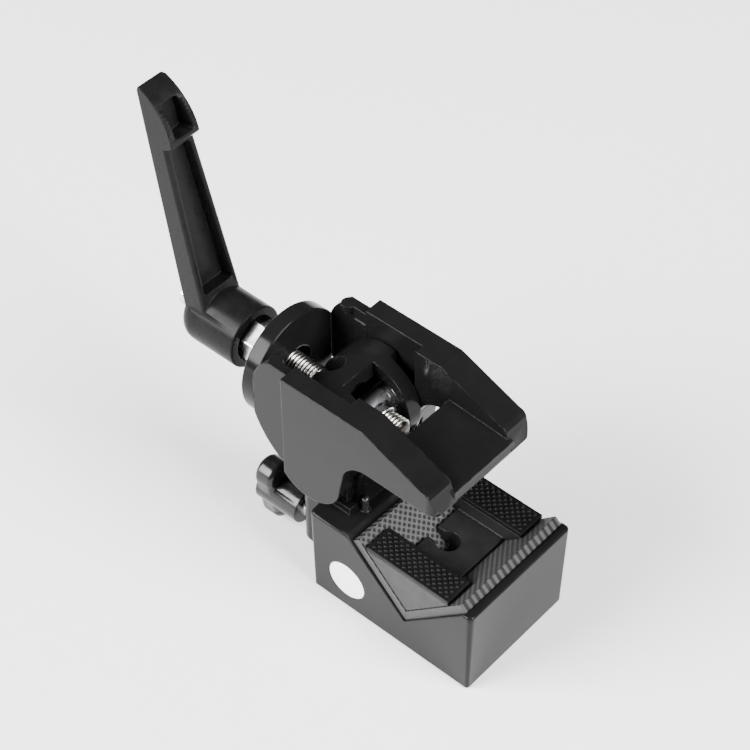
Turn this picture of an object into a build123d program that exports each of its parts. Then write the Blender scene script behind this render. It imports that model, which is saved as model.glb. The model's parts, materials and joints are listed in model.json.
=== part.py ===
from build123d import *
import math
import os

# A super clamp, in millimetres. Origin: centre of the lower jaw's base face.
# +X points to the jaw's nose, +Z up, and the clamp is symmetric about y = 0 but for its socket side.

# ---- lower jaw block
BLOCK_LENGTH = 64.7
BLOCK_WIDTH = 48.0
BLOCK_HEIGHT = 35.9
BLOCK_DRAFT = 1.2
BLOCK_CORNER = 1.8
BLOCK_EDGE = 0.9
GROOVE_FROM_REAR = 15.4
LIP_THICKNESS = 3.0
PAD_THICKNESS = 3.0
PAD_BARE_MARGIN = 2.6
PAD_SIDE_INSET = 1.2

# ---- neck, measured from the block's rear face
BOSS_OVERHANG = 10.5
BOSS_HALF_WIDTH = 17.0
BOSS_BOTTOM = 9.0
BOSS_CORNER = 4.0
NECK_OVERHANG = 9.0
NECK_FRONT = 11.2
NECK_STEP = 2.6
NECK_KNEE_DROP = 7.0
NECK_ROOT = 4.0
HINGE_FROM_REAR = -1.5
HINGE_ABOVE_BLOCK = 16.6
HEAD_BEHIND_HINGE = 1.0
HEAD_ABOVE_HINGE = 8.0
HEAD_RADIUS = 16.5
HEAD_FRONT_DEGREES = -31.0
HEAD_REAR_DEGREES = 205.0
CORE_HALF_WIDTH = 12.3
SHOULDER_HALF_WIDTH = 15.3
SHOULDER_FRONT = 8.0
WINDOW_HALF_WIDTH = 7.0
NUT_FROM_HINGE = 4.0
NUT_ABOVE_HINGE = 11.8
NUT_RADIUS = 7.0
NUT_ROOF_COVER = 3.5
NUT_CONE_RADIUS = 5.9
NUT_CONE_LENGTH = 2.8
NUT_CONE_SINK = 1.6
NUT_CONE_WALL = 0.9
NUT_END_GAP = 0.3
WINDOW_FLOOR_CLEARANCE = 8.4
SWEEP_CLEARANCE = 0.45
OPEN_ANGLE = 24.0
CLOSE_ANGLE = 35.0

# ---- hinge
PIN_RADIUS = 3.0
PIN_SKIN = 0.8
BUSH_WALL = 1.0
BUSH_LENGTH = 8.6
SHIM_THICKNESS = 0.3
SHIM_RADIUS = 7.0

# ---- stud socket, its lock and its badge
SOCKET_FLATS = 16.2
SOCKET_FROM_REAR = 14.8
SOCKET_HEIGHT = 13.3
SOCKET_END_WALL = 10.0
BADGE_RADIUS = 7.3
BADGE_THICKNESS = 0.6
BADGE_SINK = 0.1
LOCK_FROM_NECK = 1.3
LOCK_OFFSET = 11.8
LOCK_RADIUS = 1.2
LOCK_CHAMBER_RADIUS = 1.8
LOCK_CHAMBER_FLOOR = 23.5
LOCK_COLLAR = 1.2
LOCK_BUSH_LENGTH = 3.2
LOCK_RISE = 5.4
LOCK_BITE = 1.6

# ---- T-knob
KNOB_OFFSET = -10.0
KNOB_HEIGHT = 15.0
KNOB_SCREW_RADIUS = 3.0
KNOB_GAP = 3.5
KNOB_HUB_RADIUS = 6.2
KNOB_HUB_LENGTH = 9.5
KNOB_WING_LENGTH = 7.4
KNOB_WING_REACH = 13.0
KNOB_WING_WIDTH = 11.0
KNOB_ANGLE = 10.0
KNOB_WING_ROUND = 1.8
KNOB_SCREW_HOLD = 0.6
SHOE_LENGTH = 3.0
SHOE_RADIUS = 2.6
SHOE_SETBACK = 0.6

# ---- upper jaw, measured from the hinge
JAW_RIM_ABOVE = 32.5
JAW_REAR_BEHIND = 10.0
JAW_SLOPE_START = 22.5
JAW_REACH = 50.5
JAW_NOSE_RADIUS = 4.0
JAW_UNDERSIDE_ABOVE = 15.1
JAW_SLOPE_DROP = 9.0
JAW_NOSE_LEAN = 2.4
JAW_THROAT_FRONT = 23.0
JAW_THROAT_REAR = 14.2
JAW_THROAT_ABOVE = 6.0
CHEEK_OUTER = 22.4
CHEEK_INNER = 15.8
CHEEK_INNER_FRONT = 12.6
CHEEK_STEP = 12.5
LOBE_RADIUS = 12.9
LOBE_RELIEF = 0.4
FLOOR_THICKNESS = 6.0
FLOOR_DROP = 1.6
FLOOR_REAR = 26.0
FLOOR_REAR_SLANT = 3.6
DRUM_OUTER = 19.0
DRUM_REAR = 24.5
DRUM_TOP_BELOW_RIM = 1.4
DISC_RADIUS = 19.1
DISC_THICKNESS = 5.7
DISC_ABOVE_HINGE = 12.2
DISC_HOLE_RADIUS = 6.6
EJECTOR_RADIUS = 2.3
EJECTOR_DEPTH = 2.6
EJECTOR_BEHIND = 17.4
EJECTOR_INSET = 0.4
RIB_REAR = -14.5
RIB_FRONT = -9.8
RIB_LOW = 13.0
RIB_HIGH = 26.6
RIB_PROUD = 0.3
JAW_PAD_THICKNESS = 2.2
JAW_PAD_PROUD = 1.0
JAW_PAD_REAR = 28.0
JAW_PAD_NOSE_MARGIN = 3.0
JAW_PAD_SIDE_MARGIN = 2.6
RIM_EDGE = 0.6

# ---- spindle and lever
SPINDLE_RADIUS = 4.0
SPINDLE_TIP_FROM_NUT = 15.1
SPINDLE_TIP_CHAMFER = 1.2
RUNNING_CLEARANCE = 0.05
WASHER_GAP = 0.55
WASHER_THICKNESS = 2.0
WASHER_RADIUS = 9.0
HEX_FLATS = 13.0
HEX_LENGTH = 12.0
INSERT_LENGTH = 10.5
INSERT_RADIUS = 6.0
TOOTH_COUNT = 18
TOOTH_TIP_RADIUS = 7.3
TOOTH_DEPTH = 1.0
TOOTH_CLEARANCE = 0.15
LEVER_LIFT = 3.5
HUB_RADIUS = 10.9
HUB_LENGTH = 24.4
HUB_OVER_HEX = 2.6
HUB_MOUTH_RADIUS = 8.0
HUB_WEB = 1.4
HUB_REAR_ROUND = 6.0
SCREW_RADIUS = 2.5
SCREW_HEAD_RADIUS = 3.4
SCREW_HEAD_LENGTH = 6.2
SCREW_HEAD_CHAMFER = 0.5
SCREW_HOLD = 6.5
SCREW_HOLE_DEPTH = 7.0
SCREW_CLEARANCE = 0.3
SCREW_SLOT_WIDTH = 1.2
SCREW_SLOT_DEPTH = 1.3
SCREW_WASHER_THICKNESS = 0.6
SPRING_CHAMBER_RADIUS = 5.0
ARM_LEAN = 13.0
ARM_LENGTH = 85.2
ARM_ROOT_HALF_WIDTH = 8.5
ARM_TIP_HALF_WIDTH = 5.2
ARM_ROOT_THICKNESS = 9.5
ARM_TIP_THICKNESS = 7.4
HOOK_LENGTH = 19.2
TIP_CORNER = 1.7
HOOK_PROUD = 3.4
ARM_WALL = 1.7
ARM_POCKET_DEPTH = 5.2
ARM_POCKET_START = 12.0
ARM_FROM_HUB_REAR = 7.7

# ---- wedge
WEDGE_GAP = 0.2
WEDGE_TOP_BELOW_BLOCK = 0.9
WEDGE_SIDE_INSET = 1.4
RAIL_WIDTH = 10.4
STRIP_THICKNESS = 1.6
WEB_TOP_BELOW_BLOCK = 7.9
WEB_REAR = 8.7
WEB_FRONT = 9.4
KEYHOLE_RADIUS = 4.0
KEYHOLE_SLOT = 5.0
KEYHOLE_BEHIND_APEX = 2.5

# ---- places worked out from the sizes above
REAR = -BLOCK_LENGTH / 2
NOSE = BLOCK_LENGTH / 2
GROOVE_REAR = REAR + GROOVE_FROM_REAR
GROOVE_FRONT = NOSE - LIP_THICKNESS
APEX_X = (GROOVE_REAR + GROOVE_FRONT) / 2
APEX_Z = BLOCK_HEIGHT - (GROOVE_FRONT - GROOVE_REAR) / 2
HINGE_X = REAR + HINGE_FROM_REAR
HINGE_Z = BLOCK_HEIGHT + HINGE_ABOVE_BLOCK
NUT_X = HINGE_X + NUT_FROM_HINGE
NUT_Z = HINGE_Z + NUT_ABOVE_HINGE
BOSS_REAR = REAR - BOSS_OVERHANG
NECK_REAR = REAR - NECK_OVERHANG
NECK_TOP_STEP = BLOCK_HEIGHT + NECK_STEP
SOCKET_X = REAR + SOCKET_FROM_REAR
SOCKET_END_Y = -BLOCK_WIDTH / 2 + SOCKET_END_WALL
LOCK_X = REAR + NECK_FRONT + LOCK_FROM_NECK
DISC_FRONT = HINGE_X - DRUM_REAR
DISC_REAR = DISC_FRONT - DISC_THICKNESS
WASHER_FRONT = DISC_REAR - WASHER_GAP
WASHER_REAR = WASHER_FRONT - WASHER_THICKNESS
HEX_REAR = WASHER_REAR - HEX_LENGTH
INSERT_REAR = HEX_REAR - INSERT_LENGTH
HUB_FRONT = HEX_REAR + HUB_OVER_HEX
HUB_REAR = HUB_FRONT - HUB_LENGTH
WEB_REAR_FACE = INSERT_REAR - HUB_WEB - RUNNING_CLEARANCE
SCREW_SEAT = HUB_REAR + RUNNING_CLEARANCE
SPRING_REAR = SCREW_SEAT + SCREW_WASHER_THICKNESS
ROOT_TWO = math.sqrt(2)


def bar_y(x, z, radius, y_low, y_high):
    """Round bar along Y."""
    return Pos(x, (y_low + y_high) / 2, z) * Rot(90, 0, 0) * Cylinder(radius, y_high - y_low)


def bar_x(x_low, x_high, y, z, radius):
    """Round bar along X."""
    return Pos((x_low + x_high) / 2, y, z) * Rot(0, 90, 0) * Cylinder(radius, x_high - x_low)


def bar_z(x, y, z_low, z_high, radius):
    """Round bar along Z."""
    return Pos(x, y, (z_low + z_high) / 2) * Cylinder(radius, z_high - z_low)


def block(x_low, x_high, y_low, y_high, z_low, z_high):
    """Plain box between two corners."""
    place = Pos((x_low + x_high) / 2, (y_low + y_high) / 2, (z_low + z_high) / 2)
    return place * Box(x_high - x_low, y_high - y_low, z_high - z_low)


def outline(points):
    """Closed outline in the XZ plane through (x, z) points."""
    return Polyline(*[(x, 0, z) for x, z in points], close=True)


def prism_y(points, y_low, y_high):
    """Straight-sided solid along Y from (x, z) points."""
    face = make_face(outline(points))
    solid = extrude(face, amount=y_high - y_low, dir=(0, 1, 0))
    return Pos(0, y_low, 0) * solid


def from_edges(edges, y_low, y_high):
    """Solid along Y from a closed loop of edges that lie in the plane y = 0."""
    face = make_face(edges)
    solid = extrude(face, amount=y_high - y_low, dir=(0, 1, 0))
    return Pos(0, y_low, 0) * solid


def line_to(start, end):
    """Straight edge in the plane y = 0."""
    return Line((start[0], 0, start[1]), (end[0], 0, end[1]))


def arc_to(start, middle, end):
    """Arc edge in the plane y = 0."""
    return ThreePointArc((start[0], 0, start[1]), (middle[0], 0, middle[1]), (end[0], 0, end[1]))


def on_circle(centre, radius, degrees):
    """Point of a circle in the XZ plane, its angle counted from +X towards +Z."""
    angle = math.radians(degrees)
    return (centre[0] + radius * math.cos(angle), centre[1] + radius * math.sin(angle))


def annulus_y(x, z, inner, outer, y_low, y_high):
    """Ring about an axis along Y."""
    return bar_y(x, z, outer, y_low, y_high) - bar_y(x, z, inner, y_low - 1, y_high + 1)


def annulus_x(x_low, x_high, y, z, inner, outer):
    """Ring about an axis along X."""
    return bar_x(x_low, x_high, y, z, outer) - bar_x(x_low - 1, x_high + 1, y, z, inner)


# ---------------------------------------------------------------- lower jaw

def groove_outline():
    """Outline of the 90 degree groove, open past the block's top."""
    over = 4.0
    return [
        (GROOVE_REAR - over, BLOCK_HEIGHT + over),
        (APEX_X, APEX_Z),
        (GROOVE_FRONT + over, BLOCK_HEIGHT + over),
    ]


def jaw_block():
    """Drafted block, widest at its top, with rounded edges."""
    body = extrude(
        Pos(0, 0, BLOCK_HEIGHT) * RectangleRounded(BLOCK_LENGTH, BLOCK_WIDTH, BLOCK_CORNER),
        amount=-BLOCK_HEIGHT,
        taper=BLOCK_DRAFT,
    )
    base = body.faces().sort_by(Axis.Z)[0]
    body = fillet(base.edges(), BLOCK_EDGE)
    body = body - prism_y(groove_outline(), -BLOCK_WIDTH, BLOCK_WIDTH)
    tops = body.faces().filter_by(Axis.Z).filter_by(lambda f: abs(f.center().Z - BLOCK_HEIGHT) < 0.01)
    rim = [edge for face in tops for edge in face.edges()]
    outer = [edge for edge in rim if not is_groove_edge(edge)]
    return fillet(outer, BLOCK_EDGE)


def is_groove_edge(edge):
    """True for an edge that runs across the block along the groove's rim."""
    box = edge.bounding_box()
    at_rim = min(abs(box.max.X - GROOVE_REAR), abs(box.min.X - GROOVE_FRONT)) < 0.01
    return at_rim and box.size.X < 0.01


def boss():
    """Column behind the block that the T-knob's screw passes through."""
    column = block(
        BOSS_REAR, REAR + NECK_FRONT - 0.4, -BOSS_HALF_WIDTH, BOSS_HALF_WIDTH, BOSS_BOTTOM, NECK_TOP_STEP
    )
    uprights = column.edges().filter_by(Axis.Z).group_by(Axis.X)[0]
    column = fillet(uprights, BOSS_CORNER)
    foot = column.faces().sort_by(Axis.Z)[0].edges()
    rear_foot = [edge for edge in foot if edge.center().X < REAR]
    return fillet(rear_foot, BOSS_CORNER / 2)


def neck_profile(y_half):
    """Neck with its arched head."""
    centre = (HINGE_X - HEAD_BEHIND_HINGE, HINGE_Z + HEAD_ABOVE_HINGE)
    front = on_circle(centre, HEAD_RADIUS, HEAD_FRONT_DEGREES)
    rear = on_circle(centre, HEAD_RADIUS, HEAD_REAR_DEGREES)
    top = on_circle(centre, HEAD_RADIUS, 90)
    low = BLOCK_HEIGHT - NECK_ROOT
    foot_front = (REAR + NECK_FRONT, low)
    foot_rear = (NECK_REAR, low)
    knee = (NECK_REAR, HINGE_Z - NECK_KNEE_DROP)
    edges = Curve() + [
        line_to(foot_front, front),
        arc_to(front, top, rear),
        line_to(rear, knee),
        line_to(knee, foot_rear),
        line_to(foot_rear, foot_front),
    ]
    return from_edges(edges, -y_half, y_half)


def shoulder_limit():
    """Half space in front of which the wide shoulders stop, so that the opening jaw clears them."""
    far = 60.0
    keep = CHEEK_STEP - 0.3
    slab = block(keep, keep + far, -far, far, -far, far)
    return Pos(HINGE_X, 0, HINGE_Z) * Rot(0, -OPEN_ANGLE, 0) * slab


def neck():
    """Narrow core, wide shoulders behind it, and the step at its foot."""
    shoulders = neck_profile(SHOULDER_HALF_WIDTH)
    shoulders = shoulders - shoulder_limit()
    shoulders = shoulders - block(REAR + SHOULDER_FRONT, NOSE, -50, 50, 0, 200)
    return neck_profile(CORE_HALF_WIDTH) + shoulders


def spindle_sweep():
    """Space that the swivelling spindle needs through the head, behind the nut and in front of it."""
    reach = 40.0
    radius = SPINDLE_RADIUS + SWEEP_CLEARANCE
    pivot = (NUT_X, NUT_Z)
    fan = [pivot]
    for degrees in (180 - CLOSE_ANGLE, 180, 180 + OPEN_ANGLE):
        fan.append(on_circle(pivot, reach, degrees))
    rear = prism_y(fan, -radius, radius)
    for degrees in (CLOSE_ANGLE, -OPEN_ANGLE):
        rod = bar_x(-reach, 0, 0, 0, radius)
        rear = rear + Pos(NUT_X, 0, NUT_Z) * Rot(0, degrees, 0) * rod
    fall = math.tan(math.radians(CLOSE_ANGLE))
    floor = NUT_Z - WINDOW_FLOOR_CLEARANCE / math.cos(math.radians(CLOSE_ANGLE))
    window_rear = NUT_ROOF_COVER - NUT_RADIUS
    window = [
        (NUT_X + window_rear, NUT_Z + reach),
        (NUT_X + window_rear, floor - window_rear * fall),
        (NUT_X + reach, floor - reach * fall),
        (NUT_X + reach, NUT_Z + reach),
    ]
    return rear + prism_y(window, -WINDOW_HALF_WIDTH, WINDOW_HALF_WIDTH)


def hex_bar_y(flats, x, z, y_low, y_high):
    """Hexagonal bar along Y with two flats facing the X directions."""
    across_corners = flats / math.cos(math.radians(30))
    corners = [on_circle((x, z), across_corners / 2, 30 + 60 * i) for i in range(6)]
    return prism_y(corners, y_low, y_high)


def lock_bores():
    """Bores of the stud lock plunger."""
    bore = LOCK_RADIUS + RUNNING_CLEARANCE
    through = bar_z(LOCK_X, -LOCK_OFFSET, SOCKET_HEIGHT, BLOCK_HEIGHT + 12, bore)
    chamber = bar_z(LOCK_X, -LOCK_OFFSET, LOCK_CHAMBER_FLOOR, BLOCK_HEIGHT, LOCK_CHAMBER_RADIUS)
    relief = bar_z(LOCK_X, -LOCK_OFFSET, BLOCK_HEIGHT, BLOCK_HEIGHT + 14, LOCK_RADIUS + 0.5)
    return through + chamber + relief


def lower_jaw_casting():
    """Block, boss and neck in one casting, with every bore and pocket."""
    body = jaw_block() + boss() + neck()
    body = body - spindle_sweep()
    body = body - bar_y(NUT_X, NUT_Z, NUT_RADIUS + RUNNING_CLEARANCE, -30, 30)
    body = body - bar_y(HINGE_X, HINGE_Z, PIN_RADIUS + BUSH_WALL, -30, 30)
    body = body - hex_bar_y(SOCKET_FLATS, SOCKET_X, SOCKET_HEIGHT, SOCKET_END_Y, BLOCK_WIDTH)
    screw_bore = KNOB_SCREW_RADIUS + RUNNING_CLEARANCE
    body = body - bar_x(BOSS_REAR - 5, SOCKET_X, KNOB_OFFSET, KNOB_HEIGHT, screw_bore)
    body = body - lock_bores()
    pocket = BADGE_THICKNESS + BADGE_SINK
    side = -BLOCK_WIDTH / 2
    return body - bar_y(SOCKET_X, SOCKET_HEIGHT, BADGE_RADIUS, side - 3, badge_plane() + pocket)


def badge_plane():
    """Where the drafted side face stands at the badge's height."""
    draft = math.tan(math.radians(BLOCK_DRAFT))
    return -BLOCK_WIDTH / 2 + (BLOCK_HEIGHT - SOCKET_HEIGHT + BADGE_RADIUS) * draft


def side_badge():
    """Blank round badge, sunk a little below the block's side."""
    low = badge_plane() + BADGE_SINK
    return bar_y(SOCKET_X, SOCKET_HEIGHT, BADGE_RADIUS, low, low + BADGE_THICKNESS)


def groove_pad(front):
    """Rubber pad on one slope of the groove."""
    sign = 1 if front else -1
    half = (GROOVE_FRONT - GROOVE_REAR) / 2
    run = half - (0.0 if front else PAD_BARE_MARGIN / ROOT_TWO)
    shift = PAD_THICKNESS / ROOT_TWO
    points = [
        (APEX_X, APEX_Z),
        (APEX_X + sign * run, APEX_Z + run),
        (APEX_X + sign * (run - shift), APEX_Z + run + shift),
        (APEX_X, APEX_Z + 2 * shift),
    ]
    side = BLOCK_WIDTH / 2 - PAD_SIDE_INSET
    return prism_y(points, -side, side)


def hinge_pin():
    """Pin through the neck and into both cheeks, its ends under a filled and painted skin."""
    half = CHEEK_OUTER - PIN_SKIN - RUNNING_CLEARANCE
    return bar_y(HINGE_X, HINGE_Z, PIN_RADIUS, -half, half)


def hinge_bushes():
    """Two bushes pressed into the neck."""
    inner = PIN_RADIUS + RUNNING_CLEARANCE
    outer = PIN_RADIUS + BUSH_WALL
    near = SHOULDER_HALF_WIDTH - BUSH_LENGTH
    rings = [annulus_y(HINGE_X, HINGE_Z, inner, outer, near, SHOULDER_HALF_WIDTH)]
    rings.append(annulus_y(HINGE_X, HINGE_Z, inner, outer, -SHOULDER_HALF_WIDTH, -near))
    return rings


def hinge_shims():
    """Thin washers between the neck and the cheeks."""
    gap = (CHEEK_INNER - SHOULDER_HALF_WIDTH - SHIM_THICKNESS) / 2
    low = SHOULDER_HALF_WIDTH + gap
    inner = PIN_RADIUS + RUNNING_CLEARANCE
    rings = []
    for y_low, y_high in ((low, low + SHIM_THICKNESS), (-low - SHIM_THICKNESS, -low)):
        rings.append(annulus_y(HINGE_X, HINGE_Z, inner, SHIM_RADIUS, y_low, y_high))
    return rings


def lock_tip():
    """Height of the plunger's tip, just inside the empty socket."""
    corner = SOCKET_HEIGHT + SOCKET_FLATS / math.cos(math.radians(30)) / 2
    roof = corner - abs(LOCK_X - SOCKET_X) * math.tan(math.radians(30))
    return roof - LOCK_BITE


def stud_lock_pin():
    """Plunger with a collar that the spring pushes down, and a domed top to pull."""
    top = BLOCK_HEIGHT + LOCK_RISE
    shaft = bar_z(LOCK_X, -LOCK_OFFSET, lock_tip(), top, LOCK_RADIUS)
    shaft = fillet(shaft.faces().sort_by(Axis.Z)[-1].edges(), LOCK_RADIUS * 0.8)
    collar_low = LOCK_CHAMBER_FLOOR + RUNNING_CLEARANCE
    collar_radius = LOCK_CHAMBER_RADIUS - RUNNING_CLEARANCE
    return shaft + bar_z(LOCK_X, -LOCK_OFFSET, collar_low, collar_low + LOCK_COLLAR, collar_radius)


def lock_bush():
    """Guide bush pressed into the top of the plunger's chamber."""
    low = BLOCK_HEIGHT - LOCK_BUSH_LENGTH
    bush = bar_z(LOCK_X, -LOCK_OFFSET, low, BLOCK_HEIGHT, LOCK_CHAMBER_RADIUS)
    return bush - bar_z(LOCK_X, -LOCK_OFFSET, low - 1, BLOCK_HEIGHT + 1, LOCK_RADIUS + RUNNING_CLEARANCE)


def lock_spring():
    """Sleeve that stands for the plunger's coil spring."""
    low = LOCK_CHAMBER_FLOOR + RUNNING_CLEARANCE + LOCK_COLLAR
    high = BLOCK_HEIGHT - LOCK_BUSH_LENGTH
    sleeve = bar_z(LOCK_X, -LOCK_OFFSET, low, high, LOCK_CHAMBER_RADIUS - 0.1)
    return sleeve - bar_z(LOCK_X, -LOCK_OFFSET, low - 1, high + 1, LOCK_RADIUS + 0.1)


# ---------------------------------------------------------------- upper jaw

def cheek_outline():
    """Side outline of the jaw: rim, slope, nose, throat and the lobe round the hinge."""
    centre = (HINGE_X, HINGE_Z)
    rim = HINGE_Z + JAW_RIM_ABOVE
    under = HINGE_Z + JAW_UNDERSIDE_ABOVE
    slope_end = HINGE_X + JAW_REACH - 5.5
    nose_top = (HINGE_X + JAW_REACH - JAW_NOSE_LEAN, rim - JAW_SLOPE_DROP - 2.6)
    nose_mid = (HINGE_X + JAW_REACH - JAW_NOSE_LEAN - 1.0, rim - JAW_SLOPE_DROP - 0.9)
    nose_low = (HINGE_X + JAW_REACH, under + 0.8)
    rear_top = (HINGE_X - JAW_REAR_BEHIND, rim)
    slope_start = (HINGE_X + JAW_SLOPE_START, rim)
    slope_foot = (slope_end, rim - JAW_SLOPE_DROP)
    under_front = (HINGE_X + JAW_REACH - 0.8, under)
    throat_top = (HINGE_X + JAW_THROAT_FRONT, under)
    throat_mid = (HINGE_X + JAW_THROAT_REAR + 2.7, HINGE_Z + JAW_THROAT_ABOVE + 6.1)
    throat_low = (HINGE_X + JAW_THROAT_REAR, HINGE_Z + JAW_THROAT_ABOVE)
    lobe_front = on_circle(centre, LOBE_RADIUS, -5)
    lobe_low = on_circle(centre, LOBE_RADIUS, -70)
    lobe_rear = on_circle(centre, LOBE_RADIUS, -140)
    return Curve() + [
        line_to(rear_top, slope_start),
        line_to(slope_start, slope_foot),
        arc_to(slope_foot, nose_mid, nose_top),
        line_to(nose_top, nose_low),
        line_to(nose_low, under_front),
        line_to(under_front, throat_top),
        arc_to(throat_top, throat_mid, throat_low),
        line_to(throat_low, lobe_front),
        arc_to(lobe_front, lobe_low, lobe_rear),
        line_to(lobe_rear, rear_top),
    ]


def drum_outline():
    """Side outline of the walls that join the cheeks to the disc."""
    rim = HINGE_Z + JAW_RIM_ABOVE - DRUM_TOP_BELOW_RIM
    front = HINGE_X - JAW_REAR_BEHIND + 1
    rear = DISC_FRONT - 0.5
    disc_z = HINGE_Z + DISC_ABOVE_HINGE
    low_front = (front, HINGE_Z - 8.6)
    low_rear = (HINGE_X - 14.5, HINGE_Z - 8.6)
    return Curve() + [
        line_to((front, rim), (HINGE_X - 18.3, rim)),
        arc_to((HINGE_X - 18.3, rim), (HINGE_X - 22.6, disc_z + 14.4), (rear, disc_z + 7.5)),
        line_to((rear, disc_z + 7.5), (rear, disc_z - 6.5)),
        arc_to((rear, disc_z - 6.5), (HINGE_X - 21.0, disc_z - 14.2), low_rear),
        line_to(low_rear, low_front),
        line_to(low_front, (front, rim)),
    ]


def jaw_floor():
    """Floor of the channel's front half, its top falling a little towards the nose."""
    under = HINGE_Z + JAW_UNDERSIDE_ABOVE
    rear = HINGE_X + FLOOR_REAR
    nose = HINGE_X + JAW_REACH
    points = [
        (rear - FLOOR_REAR_SLANT, under),
        (nose - 0.4, under),
        (nose - 0.4, under + FLOOR_THICKNESS - FLOOR_DROP),
        (rear, under + FLOOR_THICKNESS),
    ]
    return prism_y(points, -CHEEK_INNER_FRONT - 1, CHEEK_INNER_FRONT + 1)


def nose_plan():
    """Everything inside the rounded plan of the nose."""
    nose = HINGE_X + JAW_REACH
    length = 140.0
    plan = Pos(nose - length / 2, 0, 0) * RectangleRounded(length, 2 * CHEEK_OUTER, JAW_NOSE_RADIUS)
    return extrude(plan, amount=200)


def ejector_posts():
    """Low round marks in the rear corners, left by the casting's ejector pins."""
    top = HINGE_Z + JAW_RIM_ABOVE - DRUM_TOP_BELOW_RIM
    x = HINGE_X - EJECTOR_BEHIND
    y = CHEEK_INNER + EJECTOR_INSET
    return [bar_z(x, side * y, top - EJECTOR_DEPTH, top, EJECTOR_RADIUS) for side in (-1, 1)]


def cheek_ribs():
    """Thin raised panel on each wall's inner face, in front of the disc."""
    low = CHEEK_INNER - RIB_PROUD
    high = CHEEK_INNER + RIB_PROUD
    ribs = []
    for y_low, y_high in ((low, high), (-high, -low)):
        ribs.append(
            block(HINGE_X + RIB_REAR, HINGE_X + RIB_FRONT, y_low, y_high, HINGE_Z + RIB_LOW, HINGE_Z + RIB_HIGH)
        )
    return ribs


def upper_jaw_casting():
    """Channel with two cheeks, the drum walls and the disc."""
    cheeks = from_edges(cheek_outline(), -CHEEK_OUTER, CHEEK_OUTER) & nose_plan()
    cheeks = cheeks - block(-200, HINGE_X + CHEEK_STEP, -CHEEK_INNER, CHEEK_INNER, 0, 200)
    cheeks = cheeks - block(
        HINGE_X + CHEEK_STEP - 1, 200, -CHEEK_INNER_FRONT, CHEEK_INNER_FRONT, 0, 200
    )
    body = cheeks + (jaw_floor() & nose_plan())
    walls = from_edges(drum_outline(), -DRUM_OUTER, DRUM_OUTER)
    walls = walls - from_edges(drum_outline(), -CHEEK_INNER, CHEEK_INNER)
    disc = bar_x(DISC_REAR, DISC_FRONT, 0, HINGE_Z + DISC_ABOVE_HINGE, DISC_RADIUS)
    disc = fillet(disc.edges(), RIM_EDGE)
    body = body + walls + disc
    for post in ejector_posts() + cheek_ribs():
        body = body + post
    body = body - bar_x(DISC_REAR - 1, DISC_FRONT + 1, 0, NUT_Z, DISC_HOLE_RADIUS)
    pin_half = CHEEK_OUTER - PIN_SKIN
    body = body - bar_y(HINGE_X, HINGE_Z, PIN_RADIUS + RUNNING_CLEARANCE, -pin_half, pin_half)
    body = body - bar_y(HINGE_X, HINGE_Z, LOBE_RADIUS + LOBE_RELIEF, -CHEEK_INNER, CHEEK_INNER)
    return body - pad_slab(JAW_PAD_THICKNESS - JAW_PAD_PROUD, 0.0, 0.0)


def pad_slab(depth, proud, gap):
    """Slab under the jaw's flat face: the pad, or with no pride the recess that it is bonded into."""
    under = HINGE_Z + JAW_UNDERSIDE_ABOVE
    rear = HINGE_X + JAW_PAD_REAR + gap
    nose = HINGE_X + JAW_REACH - JAW_PAD_NOSE_MARGIN - gap
    half = CHEEK_OUTER - JAW_PAD_SIDE_MARGIN - gap
    return block(rear, nose, -half, half, under - proud, under + depth)


def upper_jaw_pad():
    """Rubber pad bonded into the recess under the jaw."""
    return pad_slab(JAW_PAD_THICKNESS - JAW_PAD_PROUD, JAW_PAD_PROUD, 0.0)


# ---------------------------------------------------------------- spindle

def trunnion_nut():
    """Barrel nut across the neck, with a cone where the spindle leaves it."""
    half = CORE_HALF_WIDTH - NUT_END_GAP
    barrel = bar_y(NUT_X, NUT_Z, NUT_RADIUS, -half, half)
    cone = Cone(NUT_CONE_RADIUS, SPINDLE_RADIUS + NUT_CONE_WALL, NUT_CONE_LENGTH)
    middle = NUT_X + NUT_RADIUS - NUT_CONE_SINK + NUT_CONE_LENGTH / 2
    cone = Pos(middle, 0, NUT_Z) * Rot(0, 90, 0) * cone
    body = barrel + cone
    bore = SPINDLE_RADIUS + RUNNING_CLEARANCE
    return body - bar_x(NUT_X - 20, NUT_X + 20, 0, NUT_Z, bore)


def spindle():
    """Spindle at its thread's major diameter, chamfered at the tip."""
    tip = NUT_X + SPINDLE_TIP_FROM_NUT
    rod = bar_x(INSERT_REAR, tip, 0, NUT_Z, SPINDLE_RADIUS)
    end = rod.faces().sort_by(Axis.X)[-1]
    rod = chamfer(end.edges(), SPINDLE_TIP_CHAMFER)
    return rod - bar_x(INSERT_REAR - 1, INSERT_REAR + SCREW_HOLE_DEPTH, 0, NUT_Z, SCREW_RADIUS)


def thrust_washer():
    """Domed washer between the hex collar and the disc, free to settle on the disc's hole."""
    dome = bar_x(WASHER_REAR, WASHER_FRONT, 0, NUT_Z, WASHER_RADIUS)
    front = dome.faces().sort_by(Axis.X)[-1]
    dome = chamfer(front.edges(), WASHER_THICKNESS * 0.4)
    return dome - bar_x(WASHER_REAR - 1, WASHER_FRONT + 1, 0, NUT_Z, SPINDLE_RADIUS + RUNNING_CLEARANCE)


def hex_collar():
    """Hexagonal collar fixed on the spindle."""
    hexagon = RegularPolygon(HEX_FLATS / 2, 6, major_radius=False)
    bar = extrude(hexagon, amount=HEX_LENGTH - RUNNING_CLEARANCE)
    bar = Pos(HEX_REAR, 0, NUT_Z) * Rot(0, 90, 0) * bar
    return bar - bar_x(HEX_REAR - 1, WASHER_REAR + 1, 0, NUT_Z, SPINDLE_RADIUS)


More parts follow.
